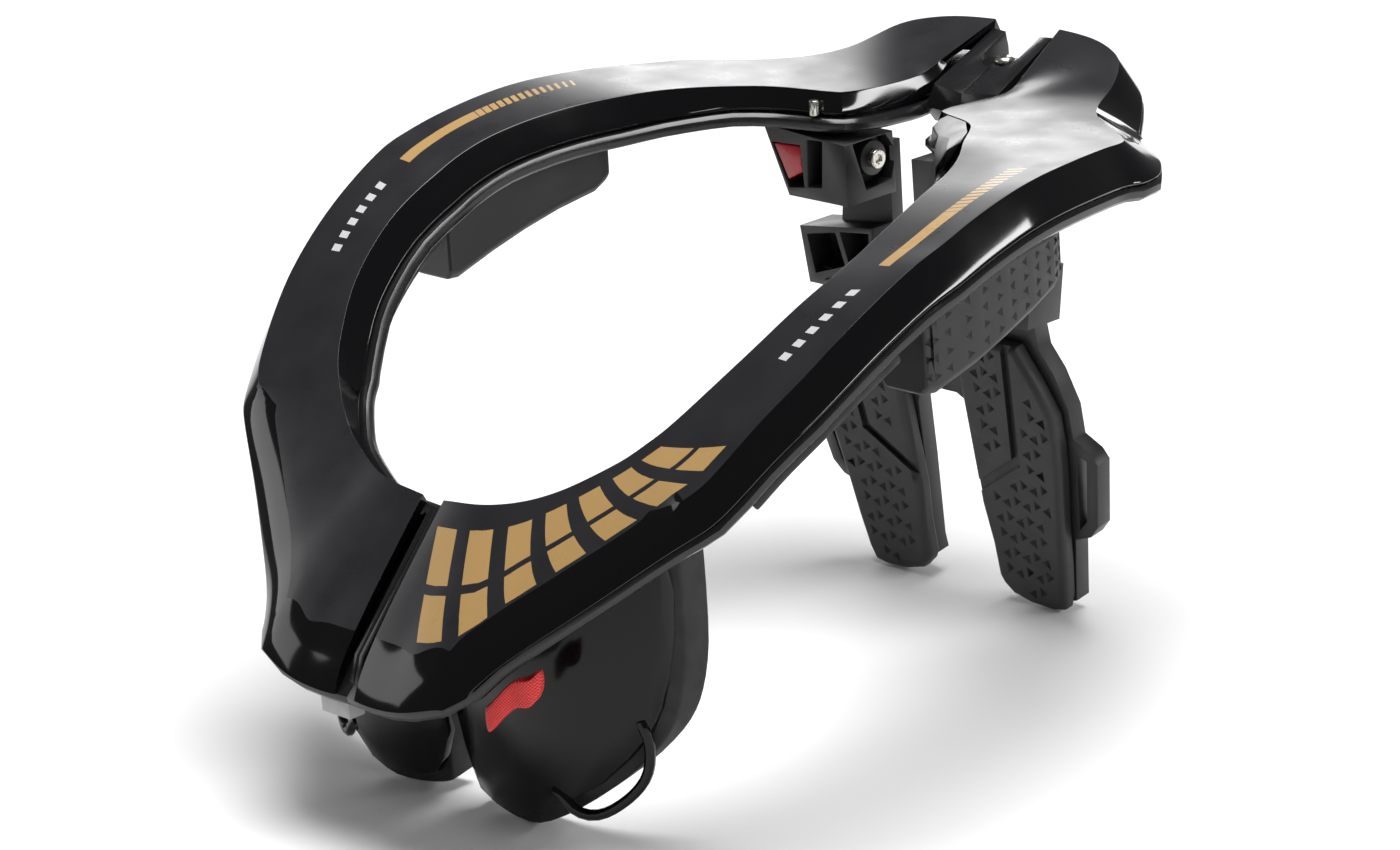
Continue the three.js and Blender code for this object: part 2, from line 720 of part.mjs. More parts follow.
function shoulderPad() {
  const rings = shoulderRows.map((row) => {
    const y = along(row.along);
    const outer = NECK_HALF_WIDTH + row.outer * BAND_WIDTH;
    const inner = outer - row.width * SHOULDER_PAD_WIDTH;
    const topOuter = undersideAt(outer, y) - 3 * FIT_GAP;
    const topInner = undersideAt(inner, y) - 3 * FIT_GAP;
    const bottom = topOuter - row.drop * SHOULDER_PAD_DEPTH;
    return [
      vec(inner, y, topInner),
      vec(inner + 0.5, y, bottom + 3),
      vec(inner + 3, y, bottom),
      vec(outer - 3, y, bottom),
      vec(outer, y, bottom + 2.5),
      vec(outer, y, topOuter),
    ];
  });
  return loft(rings);
}

// Wedge bracket under the rear of each half
const bracketFront = along(0.7515);
const bracketBack = bracketFront + BRACKET_DEPTH;
const bracketInner = LEG_SPACING / 2;
const bracketOuter = bracketInner + BRACKET_WIDTH;
const bracketFoot = bracketOuter - 0.27 * BRACKET_WIDTH;
const bracketCorners = [
  [bracketInner, bracketFront],
  [bracketOuter, bracketFront],
  [bracketOuter, bracketBack],
  [bracketInner, bracketBack],
];
const bracketTops = seatUnder(bracketCorners, 2 * FIT_GAP);
const bracketBottom = Math.min(...bracketTops) - BRACKET_HEIGHT;
const windowDepth = 0.6 * BRACKET_DEPTH;

function bracketZ(share) {
  return bracketBottom + share * BRACKET_HEIGHT;
}

function bracketX(share) {
  return bracketInner + share * BRACKET_WIDTH;
}

const boltY = bracketFront + 0.62 * BRACKET_DEPTH;
const boltZ = bracketZ(0.64);

function bracketWindow() {
  return [
    [bracketX(0.53), bracketZ(0.18)],
    [bracketX(0.72), bracketZ(0.14)],
    [bracketX(0.91), bracketZ(0.84)],
    [bracketX(0.55), bracketZ(0.87)],
  ];
}

function wedgeBracket() {
  const lower = [
    vec(bracketInner, bracketFront, bracketBottom),
    vec(bracketFoot, bracketFront, bracketBottom),
    vec(bracketFoot, bracketBack, bracketBottom),
    vec(bracketInner, bracketBack, bracketBottom),
  ];
  const upper = bracketCorners.map(([x, y], i) => vec(x, y, bracketTops[i]));
  const slot = [
    [bracketX(0.31), bracketZ(0.23)],
    [bracketX(0.485), bracketZ(0.2)],
    [bracketX(0.46), bracketZ(0.98)],
    [bracketX(0.27), bracketZ(1)],
  ];
  const recess = [
    [bracketFront + 0.17 * BRACKET_DEPTH, bracketZ(0.98)],
    [bracketFront + 0.4 * BRACKET_DEPTH, bracketZ(0.18)],
    [bracketFront + 0.92 * BRACKET_DEPTH, bracketZ(0.23)],
    [bracketBack + 1, bracketZ(0.66)],
    [bracketFront + 0.85 * BRACKET_DEPTH, bracketZ(0.98)],
  ];
  const recessDepth = 0.16 * BRACKET_WIDTH;
  const reach = facingBack(bracketFront + windowDepth);
  const bossEnd = bracketInner + recessDepth + 1;
  const boltBoss = sideways(0.26 * BRACKET_DEPTH, bracketInner + 1, bossEnd, boltY, boltZ);
  return solid(loft([lower, upper]))
    .subtract(solid(plate(bracketWindow(), windowDepth + 1, reach)))
    .subtract(solid(plate(slot, windowDepth + 1, reach)))
    .subtract(solid(plate(recess, recessDepth + 1, facingLeft(bracketInner - 1))))
    .add(solid(boltBoss));
}

function wedge() {
  const outline = [
    [bracketX(0.54) + FIT_GAP, bracketZ(0.43)],
    [bracketX(0.745) - FIT_GAP, bracketZ(0.24) + FIT_GAP],
    [bracketX(0.905) - FIT_GAP, bracketZ(0.84) - FIT_GAP],
    [bracketX(0.55) + FIT_GAP, bracketZ(0.865) - FIT_GAP],
  ];
  const back = bracketFront + windowDepth - FIT_GAP;
  return plate(outline, windowDepth - 2 * FIT_GAP, facingBack(back));
}

function bolt() {
  const seat = bracketInner + 1 - FIT_GAP;
  const head = sideways(BOLT_RADIUS, seat - 2.2, seat, boltY, boltZ);
  const key = sideways(0.5 * BOLT_RADIUS, seat - 3, seat - 1.2, boltY, boltZ, 6);
  return surface(solid(head).subtract(solid(key)));
}

// Back legs: frames on the leaning front face of the pads
const lean = THREE.MathUtils.degToRad(LEG_LEAN);
const upTheLeg = vec(0, -Math.sin(lean), Math.cos(lean));
const toTheFront = vec(0, -Math.cos(lean), -Math.sin(lean));
const armBottom = bracketBottom - ARM_DROP - ARM_HEIGHT;
const legFoot = bracketBack + Math.tan(lean) * armBottom - LEG_SET_FORWARD;
const legInner = LEG_SPACING / 2 - 1;
const legLength = (armBottom - LEG_TOP_CLEARANCE) / Math.cos(lean);

function legFrame(behind) {
  const origin = moved(vec(0, legFoot, 0), [toTheFront, -behind]);
  origin.z = behind * Math.sin(lean);
  return new THREE.Matrix4().makeBasis(vec(1, 0, 0), upTheLeg, toTheFront).setPosition(origin);
}

function onLeg([across, up]) {
  return [legInner + across * LEG_WIDTH, up * legLength];
}

const legPadGeometry = plate(LEG_PAD_OUTLINE.map(onLeg), LEG_PAD_THICKNESS, legFrame(LEG_PAD_THICKNESS));

function legShell() {
  const webTop = (armBottom + 0.2 * ARM_HEIGHT) / Math.cos(lean);
  const inner = LEG_SHELL_INNER.map(onLeg);
  const outer = LEG_SHELL_OUTER.map(onLeg);
  const archTop = inner[inner.length - 1][1];
  outer[0][1] = webTop;
  const outline = [...inner, [FIT_GAP / 2, archTop], [FIT_GAP / 2, webTop], ...outer];
  const behind = LEG_PAD_THICKNESS + FIT_GAP + LEG_SHELL_THICKNESS;
  const shell = plate(outline, LEG_SHELL_THICKNESS, legFrame(behind), LEG_LOOP_OPENING.map(onLeg));
  return solid(shell).add(armBlock());
}

// Ribbed arm block above the leg, with a plate that rises behind the bracket
function armBlock() {
  const front = bracketBack + 3 * FIT_GAP - ARM_SET_FORWARD;
  const back = front + ARM_DEPTH;
  const top = armBottom + ARM_HEIGHT;
  const outer = bracketOuter;
  const inner = bracketInner + 3;
  const lower = [
    vec(inner, front, armBottom),
    vec(outer - 3, front, armBottom),
    vec(outer - 3, back, armBottom),
    vec(inner, back, armBottom),
  ];
  const upper = [
    vec(inner, front, top + 3),
    vec(outer, front, top - 1),
    vec(outer, back, top - 1),
    vec(inner, back, top + 3),
  ];
  const pocketFloor = facingBack(front + 0.65 * ARM_DEPTH);
  let body = solid(loft([lower, upper]));
  for (const shares of ARM_POCKETS) {
    const outline = shares.map(([u, v]) => [inner + u * (outer - inner), armBottom + v * ARM_HEIGHT]);
    body = body.subtract(solid(plate(outline, ARM_DEPTH, pocketFloor)));
  }
  const riser = [
    [bracketX(0.08), top - 2],
    [bracketX(0.72), top - 2],
    [bracketX(0.62), bracketZ(0.75)],
    [bracketX(0.06), bracketZ(0.8)],
  ];
  const riserBack = bracketBack + FIT_GAP + 5;
  return body.add(solid(plate(riser, 5, facingBack(riserBack))));
}

// The glossy dome on the left cover that reaches into the neck opening
function tongue() {
  const rings = named(TONGUE_COLUMNS, TONGUE_ROWS).map((row) => {
    const s = station(row.row / ROW_COUNT, 0);
    const reach = TONGUE_REACH * row.reach;
    const level = row.level * INNER_BEVEL_DROP;
    const near = moved(s.inner, [s.toNeck, FIT_GAP * 1.5]);
    const crown = moved(s.inner, [s.toNeck, reach * 0.55], [UP, -0.3 * level]);
    const tip = moved(s.inner, [s.toNeck, reach], [UP, -level]);
    const clearOfFlange = s.innerRun + CHASSIS_FLANGE + 2 * FIT_GAP;
    const tipBack = Math.max(reach - TONGUE_UNDERCUT, clearOfFlange + 2 * TONGUE_UNDERCUT);
    const under = moved(s.inner, [s.toNeck, tipBack], [UP, -level - TONGUE_THICKNESS]);
    const seat = moved(s.inner, [s.toNeck, clearOfFlange], [UP, -s.innerDrop + FIT_GAP]);
    const root = moved(s.lip, [s.toNeck, FIT_GAP * 1.5], [UP, FIT_GAP * 1.5]);
    return [near, crown, tip, under, seat, root];
  });
  return loft(rings);
}

// Small pin on the inner rim of the right half
function flangeStud() {
  const s = station(20.2 / ROW_COUNT, 0);
  const foot = moved(s.lip, [s.toNeck, 1.4]);
  const bottom = foot.z + 2 * FIT_GAP;
  return upright(STUD_RADIUS, bottom, bottom + 5, foot.x, foot.y, 20);
}

// Folded webbing pull under the left front edge
function releasePull() {
  const s = station(3.25 / ROW_COUNT, 0);
  const way = s.outerWay.clone().normalize();
  const behind = moved(s.hem, [s.outward, -3.5], [UP, -CHASSIS_THICKNESS - 1.6]);
  const sections = [-0.5, -0.2, 0.15, 0.5].map((share) => moved(behind, [way, share * PULL_LENGTH]));
  const rings = sections.map((p, i) => {
    const height = PULL_HEIGHT * [0.75, 1, 0.85, 0.6][i];
    return [
      moved(p, [s.outward, PULL_THICKNESS / 2]),
      moved(p, [s.outward, PULL_THICKNESS / 2], [UP, -height]),
      moved(p, [s.outward, -PULL_THICKNESS / 2], [UP, -height]),
      moved(p, [s.outward, -PULL_THICKNESS / 2]),
    ];
  });
  return loft(rings);
}

// Light latch piece below the front seam, on the right half's side
function seamLatch() {
  const s = station(0, 0);
  const top = s.hem.z - CHASSIS_THICKNESS + 1.6;
  const y = s.hem.y + 5;
  return block(-LATCH_WIDTH - 4, -4, y, y + 6, top - LATCH_HEIGHT, top);
}

// Materials
const gloss = new THREE.MeshStandardMaterial({ color: 0x08080a, roughness: 0.12, metalness: 0 });
const matte = new THREE.MeshStandardMaterial({ color: 0x19191b, roughness: 0.6, metalness: 0 });
const foam = new THREE.MeshStandardMaterial({ color: 0x222225, roughness: 0.9, metalness: 0 });
const red = new THREE.MeshStandardMaterial({ color: 0xc8102a, roughness: 0.35, metalness: 0 });
const steel = new THREE.MeshStandardMaterial({ color: 0xb9b4a6, roughness: 0.3, metalness: 1 });
const pale = new THREE.MeshStandardMaterial({ color: 0xa8a8aa, roughness: 0.6, metalness: 0 });

const brace = new THREE.Group();

function add(name, geometry, material) {
  const mesh = new THREE.Mesh(geometry, material.clone());
  mesh.name = name;
  brace.add(mesh);
}

function addPair(name, geometry, material) {
  add(`${name}_left`, geometry, material);
  add(`${name}_right`, mirrored(geometry), material);
}

addPair("cover", coverGeometry, gloss);
add("chassis_left", chassisLeftGeometry, matte);
add("chassis_right", chassisRightGeometry, matte);
add("hinge_pin", hingePin(), steel);
addPair("chest_plate", chestPlate(), gloss);
addPair("chest_foam", loft(chestEdges.slice(1).map(chestFoamRing)), foam);
addPair("front_pad", frontPad(), foam);
addPair("shoulder_pad", shoulderPad(), foam);
addPair("wedge_bracket", surface(wedgeBracket()), matte);
addPair("wedge", wedge(), red);
addPair("bolt", bolt(), steel);
addPair("leg_shell", surface(legShell()), matte);
addPair("leg_pad", legPadGeometry, foam);
add("tongue", tongue(), gloss);
add("flange_stud", mirrored(flangeStud()), steel);
add("release_pull", releasePull(), red);
add("seam_latch", seamLatch(), pale);

// The floor is the plane z = 0, and the brace's box is centred over the origin
const box = new THREE.Box3().setFromObject(brace);
brace.position.set(0, -(box.min.y + box.max.y) / 2, -box.min.z);

export default brace;
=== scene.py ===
# %% [markdown]
# # A motocross neck brace, finished in Blender
# The brace's measured solids come from the CAD frame. This lesson dresses each of them:
# edges get their small moulded radii, pads get their embossing, and every surface gets
# a material made of nodes. All lengths are in metres, +Z is up and -Y is the wearer's front.

# %% Load the frame
import math

import bmesh
import bpy
from mathutils import Matrix, Vector


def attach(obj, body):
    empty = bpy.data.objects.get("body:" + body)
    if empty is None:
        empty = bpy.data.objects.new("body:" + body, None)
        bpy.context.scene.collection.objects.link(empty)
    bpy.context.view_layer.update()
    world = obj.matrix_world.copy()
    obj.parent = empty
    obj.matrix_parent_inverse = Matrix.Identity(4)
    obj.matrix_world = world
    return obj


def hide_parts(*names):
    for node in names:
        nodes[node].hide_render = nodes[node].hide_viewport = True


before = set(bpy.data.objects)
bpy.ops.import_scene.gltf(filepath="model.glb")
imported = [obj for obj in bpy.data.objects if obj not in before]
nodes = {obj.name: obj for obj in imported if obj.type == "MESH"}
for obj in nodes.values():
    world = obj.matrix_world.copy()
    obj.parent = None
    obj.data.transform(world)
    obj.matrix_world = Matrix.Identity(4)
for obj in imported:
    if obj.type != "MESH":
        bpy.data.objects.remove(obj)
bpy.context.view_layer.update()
MM = 0.001
SIDES = {"left": "left_half", "right": "right_half"}

# %% [markdown]
# ## Helpers for shapes
# A CAD node arrives as loose triangles. A merged copy of it is a good start for a finished
# piece: its triangles are joined into larger faces, and then its sharp edges can be found
# by the angle between their faces and rounded with the bevel operator.


# %% Shape helpers
WELD_DISTANCE = 0.002 * MM


def merged_copy(node, angle=1.0):
    """A welded copy of a CAD node, with the triangles joined that fold less than the angle."""
    shape = bmesh.new()
    shape.from_mesh(nodes[node].data)
    bmesh.ops.remove_doubles(shape, verts=shape.verts, dist=WELD_DISTANCE)
    bmesh.ops.join_triangles(
        shape,
        faces=shape.faces,
        angle_face_threshold=math.radians(angle),
        angle_shape_threshold=math.radians(180),
    )
    return shape


def sharp_edges(shape, degrees):
    limit = math.radians(degrees)
    return [e for e in shape.edges if len(e.link_faces) == 2 and e.calc_face_angle(0) > limit]


def round_edges(shape, edges, width, segments=2):
    """Bevels the edges to a rounding whose width is given in millimetres."""
    bmesh.ops.bevel(
        shape,
        geom=edges,
        offset=width * MM,
        offset_type="OFFSET",
        segments=segments,
        profile=0.5,
        affect="EDGES",
        clamp_overlap=True,
        material=-1,
    )


def into_object(shape, name, finishes, smooth=35):
    """Turns the shape into an object at the origin, smooth up to the given angle."""
    mesh = bpy.data.meshes.new(name)
    shape.to_mesh(mesh)
    shape.free()
    for finish in finishes:
        mesh.materials.append(finish)
    mesh.shade_smooth()
    mesh.set_sharp_from_angle(angle=math.radians(smooth))
    piece = bpy.data.objects.new(name, mesh)
    bpy.context.scene.collection.objects.link(piece)
    return piece


def seat(piece, body, slot, *stands_for):
    """Gives the piece its moving body, and hides the CAD nodes that it replaces. The slot is not
    used.
    """
    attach(piece, body)
    if stands_for:
        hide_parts(*stands_for)
    print(f"{piece.name}: {len(piece.data.polygons)} faces, rides on {body}")
    return piece


# %% [markdown]
# ## Helpers for modifiers
# Subdivision, carving with a boolean and weighted normals are modifiers here. Each is applied
# at once, so that the next step works on the mesh that it made.


# %% Modifier helpers
AREA_WEIGHT = 80


def subdivided(piece, levels):
    modifier = piece.modifiers.new("Smooth form", "SUBSURF")
    modifier.levels = levels
    modifier.render_levels = levels
    return piece


def applied(piece):
    graph = bpy.context.evaluated_depsgraph_get()
    mesh = bpy.data.meshes.new_from_object(piece.evaluated_get(graph))
    piece.modifiers.clear()
    piece.data = mesh
    return piece


def carved(piece, cutter):
    """Takes the cutter's form out of the piece and deletes the cutter."""
    cut = piece.modifiers.new("Carving", "BOOLEAN")
    cut.operation = "DIFFERENCE"
    cut.object = cutter
    cut.solver = "MANIFOLD"
    applied(piece)
    bpy.data.objects.remove(cutter)
    return piece


def even_normals(piece, degrees):
    """Large flat faces keep their own direction, and small rounded ones turn between them."""
    piece.data.shade_smooth()
    piece.data.set_sharp_from_angle(angle=math.radians(degrees))
    weighted = piece.modifiers.new("Even normals", "WEIGHTED_NORMAL")
    weighted.keep_sharp = True
    weighted.weight = AREA_WEIGHT
    return applied(piece)


# %% [markdown]
# ## Helpers for materials
# Each finish is a Principled shader. Noise on Object coordinates breaks up its roughness and
# gives it a fine grain, because no moulded part is perfectly even. A pattern that follows the
# surface reads one of the piece's own UV maps instead.


# %% Material helpers
def finish_named(name, colour, roughness, metallic=0.0, coat=0.0, specular=0.5):
    finish = bpy.data.materials.new(name)
    finish.use_nodes = True
    shader = finish.node_tree.nodes["Principled BSDF"]
    shader.inputs["Base Color"].default_value = (*colour, 1)
    shader.inputs["Roughness"].default_value = roughness
    shader.inputs["Metallic"].default_value = metallic
    shader.inputs["Specular IOR Level"].default_value = specular
    shader.inputs["Coat Weight"].default_value = coat
    shader.inputs["Coat Roughness"].default_value = 0.04
    return finish


def noise_on(finish, scale, detail=3.0, stretch=(1, 1, 1)):
    tree = finish.node_tree
    place = tree.nodes.new("ShaderNodeTexCoord")
    mapping = tree.nodes.new("ShaderNodeMapping")
    mapping.inputs["Scale"].default_value = stretch
    noise = tree.nodes.new("ShaderNodeTexNoise")
    noise.inputs["Scale"].default_value = scale
    noise.inputs["Detail"].default_value = detail
    tree.links.new(place.outputs["Object"], mapping.inputs["Vector"])
    tree.links.new(mapping.outputs["Vector"], noise.inputs["Vector"])
    return noise.outputs[0]


def spread(finish, value, low, high, start=0.3, end=0.7):
    node = finish.node_tree.nodes.new("ShaderNodeMapRange")
    node.inputs["From Min"].default_value = start
    node.inputs["From Max"].default_value = end
    node.inputs["To Min"].default_value = low
    node.inputs["To Max"].default_value = high
    finish.node_tree.links.new(value, node.inputs["Value"])
    return node.outputs["Result"]


def math_node(finish, operation, first, second=None, third=None):
    node = finish.node_tree.nodes.new("ShaderNodeMath")
    node.operation = operation
    for socket, value in zip(node.inputs, (first, second, third)):
        if value is None:
            continue
        if isinstance(value, (int, float)):
            socket.default_value = value
        else:
            finish.node_tree.links.new(value, socket)
    return node.outputs[0]


def blended(finish, factor, first, second):
    node = finish.node_tree.nodes.new("ShaderNodeMix")
    node.data_type = "RGBA"
    finish.node_tree.links.new(factor, node.inputs[0])
    for socket, value in ((node.inputs[6], first), (node.inputs[7], second)):
        if isinstance(value, tuple):
            socket.default_value = (*value, 1)
        else:
            finish.node_tree.links.new(value, socket)
    return node.outputs[2]


def uv_parts(finish, layer):
    tree = finish.node_tree
    uv = tree.nodes.new("ShaderNodeUVMap")
    uv.uv_map = layer
    split = tree.nodes.new("ShaderNodeSeparateXYZ")
    tree.links.new(uv.outputs["UV"], split.inputs[0])
    return split.outputs[0], split.outputs[1]


def to_shader(finish, socket, value):
    shader = finish.node_tree.nodes["Principled BSDF"]
    finish.node_tree.links.new(value, shader.inputs[socket])


def grain(finish, height, distance, strength=0.5):
    node = finish.node_tree.nodes.new("ShaderNodeBump")
    node.inputs["Strength"].default_value = strength
    node.inputs["Distance"].default_value = distance * MM
    finish.node_tree.links.new(height, node.inputs["Height"])
    to_shader(finish, "Normal", node.outputs["Normal"])


# %% [markdown]
# ## The black finishes
# The collar's bevels and the chest plates are glossy black plastic that mirrors the studio,
# and the tongue is a little duller. The chassis, the brackets and the back legs are the same
# black with a fine moulded grain. The pads are matte foam, so their roughness is higher.

# %% Black finishes
gloss_black = finish_named("gloss black shell", (0.002, 0.002, 0.0025), 0.06)
to_shader(gloss_black, "Roughness", spread(gloss_black, noise_on(gloss_black, 60), 0.05, 0.09))
grain(gloss_black, noise_on(gloss_black, 35, 1.0), 0.05, 0.15)

gloss_plate = finish_named("gloss black plate", (0.003, 0.003, 0.0035), 0.1, specular=0.25)
to_shader(gloss_plate, "Roughness", spread(gloss_plate, noise_on(gloss_plate, 80), 0.09, 0.15))
grain(gloss_plate, noise_on(gloss_plate, 45, 1.0), 0.05, 0.15)

tongue_black = finish_named("satin tongue black", (0.006, 0.006, 0.007), 0.3)
to_shader(tongue_black, "Roughness", spread(tongue_black, noise_on(tongue_black, 90), 0.26, 0.36))

matte_black = finish_named("moulded matte black", (0.012, 0.012, 0.013), 0.42)
matte_tone = noise_on(matte_black, 90, 4.0)
matte_mix = blended(matte_black, matte_tone, (0.009, 0.009, 0.010), (0.018, 0.018, 0.020))
to_shader(matte_black, "Base Color", matte_mix)
to_shader(matte_black, "Roughness", spread(matte_black, matte_tone, 0.34, 0.5))
grain(matte_black, noise_on(matte_black, 2600, 2.0), 0.05, 0.35)

rim_black = finish_named("satin chassis black", (0.010, 0.010, 0.011), 0.24)
rim_tone = noise_on(rim_black, 110, 4.0)
to_shader(rim_black, "Roughness", spread(rim_black, rim_tone, 0.19, 0.3))
grain(rim_black, noise_on(rim_black, 2200, 2.0), 0.03, 0.2)

foam_black = finish_named("closed-cell foam", (0.013, 0.013, 0.014), 0.7)
foam_tone = noise_on(foam_black, 160, 5.0)
foam_mix = blended(foam_black, foam_tone, (0.010, 0.010, 0.011), (0.022, 0.022, 0.024))
to_shader(foam_black, "Base Color", foam_mix)
to_shader(foam_black, "Roughness", spread(foam_black, foam_tone, 0.6, 0.82))
grain(foam_black, noise_on(foam_black, 1500, 3.0), 0.12, 0.5)

embossed_black = finish_named("embossed moulded foam", (0.014, 0.014, 0.015), 0.5)
embossed_tone = noise_on(embossed_black, 120, 4.0)
embossed_mix = blended(
    embossed_black, embossed_tone, (0.011, 0.011, 0.012), (0.022, 0.022, 0.024)
)
to_shader(embossed_black, "Base Color", embossed_mix)
to_shader(embossed_black, "Roughness", spread(embossed_black, embossed_tone, 0.42, 0.58))
grain(embossed_black, noise_on(embossed_black, 2000, 2.0), 0.06, 0.4)
print("pad finishes:", foam_black.name, "and", embossed_black.name)

# %% [markdown]
# ## Steel, red and pale finishes
# The bolts and pins are turned metal, so their noise is stretched into fine scratches. The
# wedges are glossy red plastic, and the latch is pale and matte.

# %% Small finishes
steel = finish_named("turned steel", (0.62, 0.60, 0.55), 0.25, metallic=1.0)
to_shader(steel, "Roughness", spread(steel, noise_on(steel, 1400, 2.0, (0.1, 1, 1)), 0.16, 0.34))

red_gloss = finish_named("red wedge plastic", (0.55, 0.006, 0.02), 0.25, coat=0.3)
red_tone = noise_on(red_gloss, 140)
to_shader(
    red_gloss, "Base Color", blended(red_gloss, red_tone, (0.36, 0.004, 0.012), (0.62, 0.010, 0.03))
)
to_shader(red_gloss, "Roughness", spread(red_gloss, red_tone, 0.2, 0.34))

pale_grey = finish_named("pale grey plastic", (0.42, 0.42, 0.43), 0.45)
pale_tone = noise_on(pale_grey, 300)
to_shader(
    pale_grey, "Base Color", blended(pale_grey, pale_tone, (0.34, 0.34, 0.35), (0.5, 0.5, 0.5))
)
grain(pale_grey, noise_on(pale_grey, 2400), 0.05, 0.3)
print("small finishes:", ", ".join(f.name for f in (steel, red_gloss, pale_grey)))

# %% [markdown]
# ## The satin top band and its ornaments
# The collar's flat top face is covered with a satin film. A gold stripe runs along each side
# and breaks up into ticks that fade to the rear, with a row of pale dashes before it, and on
# the left slanted bars cross the front. The pattern follows the collar, so it is drawn on a
# UV map whose u is the distance from the front seam in tenths of a metre, and whose v runs
# from the inner crease to the outer one. The values below are in those units. It could be
# painted on an image, but a pattern of nodes stays sharp at any size.

# %% Ornament values
GOLD = (0.47, 0.29, 0.11)
PALE = (0.62, 0.62, 0.62)
STRIPE_START, STRIPE_END, TICKS_END = 1.88, 2.18, 2.56
STRIPE_LOW, STRIPE_HIGH = 0.23, 0.4
STRIPE_DRIFT = 0.13
TICK_PITCH, TICK_SLANT = 0.027, 0.06
TICK_FILL_START, TICK_FILL_END = 0.9, 0.3
BARS_START, BARS_END = 0.0, 1.0
BARS_LOW, BARS_HIGH = 0.16, 0.84
BARS_SPLIT_LOW, BARS_SPLIT_HIGH = 0.5, 0.56
BAR_PITCH, BAR_SLANT, BAR_FILL = 0.15, 0.22, 0.62
DASHES_START, DASHES_END = 1.42, 1.76
DASHES_LOW, DASHES_HIGH = 0.25, 0.38
DASH_PITCH, DASH_FILL = 0.055, 0.5

# %% [markdown]
# An ornament is a mask: one where there is colour and zero elsewhere. Comparing a coordinate
# with two limits gives a band, and the fraction of a coordinate gives bars that repeat. Masks
# are joined by their product, where both must hold, or by their maximum, where one is enough.


# %% Masks
def both(finish, first, second):
    return math_node(finish, "MULTIPLY", first, second)


def either(finish, first, second):
    return math_node(finish, "MAXIMUM", first, second)


def between(finish, value, low, high):
    above = math_node(finish, "GREATER_THAN", value, low)
    below = math_node(finish, "LESS_THAN", value, high)
    return both(finish, above, below)


def repeating(finish, value, pitch, share):
    part = math_node(finish, "FRACT", math_node(finish, "DIVIDE", value, pitch))
    return math_node(finish, "LESS_THAN", part, share)


def slanted(finish, along, across, slant):
    return math_node(finish, "MULTIPLY_ADD", across, -slant, along)


def in_lane(finish, along, across, low, high):
    """The stripe and the dashes drift outwards, so their lane leans across the band."""
    return between(finish, slanted(finish, across, along, STRIPE_DRIFT), low, high)


# %% [markdown]
# Each ornament is a short function of the two band coordinates, so that its values can be
# changed without touching the others.


# %% Ornaments
def gold_stripe(film, along, across):
    leaning = slanted(film, along, across, TICK_SLANT)
    fill = spread(film, along, TICK_FILL_START, TICK_FILL_END, STRIPE_END, TICKS_END)
    tick = repeating(film, leaning, TICK_PITCH, fill)
    ticks = both(film, tick, between(film, along, STRIPE_END, TICKS_END))
    solid = between(film, along, STRIPE_START, STRIPE_END)
    lane = in_lane(film, along, across, STRIPE_LOW, STRIPE_HIGH)
    return both(film, lane, either(film, solid, ticks))


def gold_bars(film, along, across):
    leaning = slanted(film, along, across, BAR_SLANT)
    bar = repeating(film, leaning, BAR_PITCH, BAR_FILL)
    split = between(film, across, BARS_SPLIT_LOW, BARS_SPLIT_HIGH)
    rows = both(film, bar, math_node(film, "SUBTRACT", 1.0, split))
    width = between(film, across, BARS_LOW, BARS_HIGH)
    length = between(film, leaning, BARS_START, BARS_END)
    return both(film, rows, both(film, width, length))


def pale_dashes(film, along, across):
    leaning = slanted(film, along, across, TICK_SLANT)
    dash = repeating(film, leaning, DASH_PITCH, DASH_FILL)
    lane = in_lane(film, along, across, DASHES_LOW, DASHES_HIGH)
    length = between(film, leaning, DASHES_START, DASHES_END)
    return both(film, dash, both(film, lane, length))


# %% [markdown]
# The film itself is satin black with a faint change of tone. The gold is laid over it first
# and the pale dashes last. Only the left cover's film has the bars.


# %% Satin film
def satin_finish(name, with_bars):
    film = finish_named(name, (0.017, 0.017, 0.019), 0.3)
    along, across = uv_parts(film, "band")
    gold = gold_stripe(film, along, across)
    if with_bars:
        gold = either(film, gold, gold_bars(film, along, across))
    tone = noise_on(film, 70, 3.0)
    black = blended(film, tone, (0.014, 0.014, 0.016), (0.020, 0.020, 0.023))
    with_gold = blended(film, gold, black, GOLD)
    dashes = pale_dashes(film, along, across)
    to_shader(film, "Base Color", blended(film, dashes, with_gold, PALE))
    to_shader(film, "Roughness", spread(film, tone, 0.26, 0.34))
    return film


films = {
    "left": satin_finish("satin film with bars", True),
    "right": satin_finish("satin film", False),
}
print("satin film nodes:", len(films["left"].node_tree.nodes))

# %% [markdown]
# ## The collar's covers
# Each cover is a shell with a flat top and two bevels, and its creases are finely rounded.
# It could be modelled anew as a smooth cage, but the solid's creases are already in place, so
# a copy is bevelled instead. The top face is found by walking over the faces from a flat one
# and stopping at the creases. A dict keeps the faces in an order that each run repeats.


# %% Finding the top face
CREASE_DEGREES = 17
SIDE_X = 90 * MM
LONGEST_STEP = 20 * MM
REAR_PENALTY = 10


def is_crease(edge):
    return edge.calc_face_angle(math.pi) > math.radians(CREASE_DEGREES)


def patch_from(start):
    """The faces that are reached from one face without crossing a crease."""
    found, todo = {start: True}, [start]
    while todo:
        face = todo.pop()
        for edge in face.edges:
            if is_crease(edge):
                continue
            for other in edge.link_faces:
                if other not in found:
                    found[other] = True
                    todo.append(other)
    return found


def top_patch(shape):
    side = [f for f in shape.faces if abs(f.calc_center_median().x) > SIDE_X]
    return patch_from(max(side, key=lambda f: f.normal.z))


def rim_edges(patch):
    """The edges opposite the creases: the cover's hem outside and its lip at the neck."""
    rims = {}
    for crease in (e for face in patch for e in face.edges if is_crease(e)):
        bevel = next(f for f in crease.link_faces if f not in patch)
        far = [e for e in bevel.edges if not set(e.verts) & set(crease.verts)]
        if len(bevel.verts) == 4 and far and crease.calc_length() < LONGEST_STEP:
            rims[far[0]] = True
    return list(rims)


